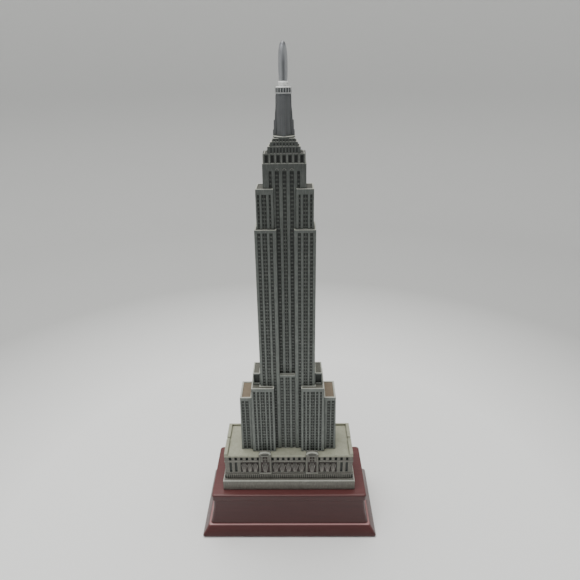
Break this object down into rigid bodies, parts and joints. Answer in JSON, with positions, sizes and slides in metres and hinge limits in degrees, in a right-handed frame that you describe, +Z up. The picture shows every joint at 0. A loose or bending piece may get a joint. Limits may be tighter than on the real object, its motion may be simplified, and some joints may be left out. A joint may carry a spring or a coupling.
{
  "type": "miniature landmark model",
  "caption": "Stepped Art Deco tower souvenir in washed resin on a lacquered moulded plinth, with a gunmetal mast, bright ring and dome, and polished metal spire.",
  "frame": {"origin": "centre of the underside, on the surface that the model stands on", "axes": "+Z up; -Y towards the front with the entrance pylons; +X to the right of a person facing the front"},
  "size_m": [0.088, 0.046, 0.2273],
  "materials": {
    "felt": "short felt",
    "mahogany_lacquer": "glossy lacquer",
    "washed_resin": "cast resin, dark wash, dry-brushed edges",
    "gunmetal_paint": "smooth satin",
    "silver_paint": "bright satin",
    "polished_metal": "polished",
    "zinc_steel": "zinc plated"
  },
  "bodies": {
    "root": {"felt_pad": "felt", "plinth": "mahogany_lacquer", "screw_left": "zinc_steel", "screw_right": "zinc_steel", "washer_left": "zinc_steel", "washer_right": "zinc_steel", "base_slab": "washed_resin", "podium": "washed_resin", "pylon_left": "washed_resin", "pylon_right": "washed_resin", "frieze_left": "washed_resin", "frieze_centre": "washed_resin", "frieze_right": "washed_resin", "shoulder_left": "washed_resin", "shoulder_right": "washed_resin", "outer_block_left": "washed_resin", "outer_block_right": "washed_resin", "infill_front": "washed_resin", "infill_rear": "washed_resin", "shaft": "washed_resin", "tower_pin": "zinc_steel", "upper_pin": "zinc_steel", "upper_shaft": "washed_resin", "crown_block": "washed_resin", "crown_tiers": "washed_resin", "mast": "gunmetal_paint", "lantern_ring": "silver_paint", "dome": "silver_paint", "spire": "polished_metal"}
  },
  "joints": []
}
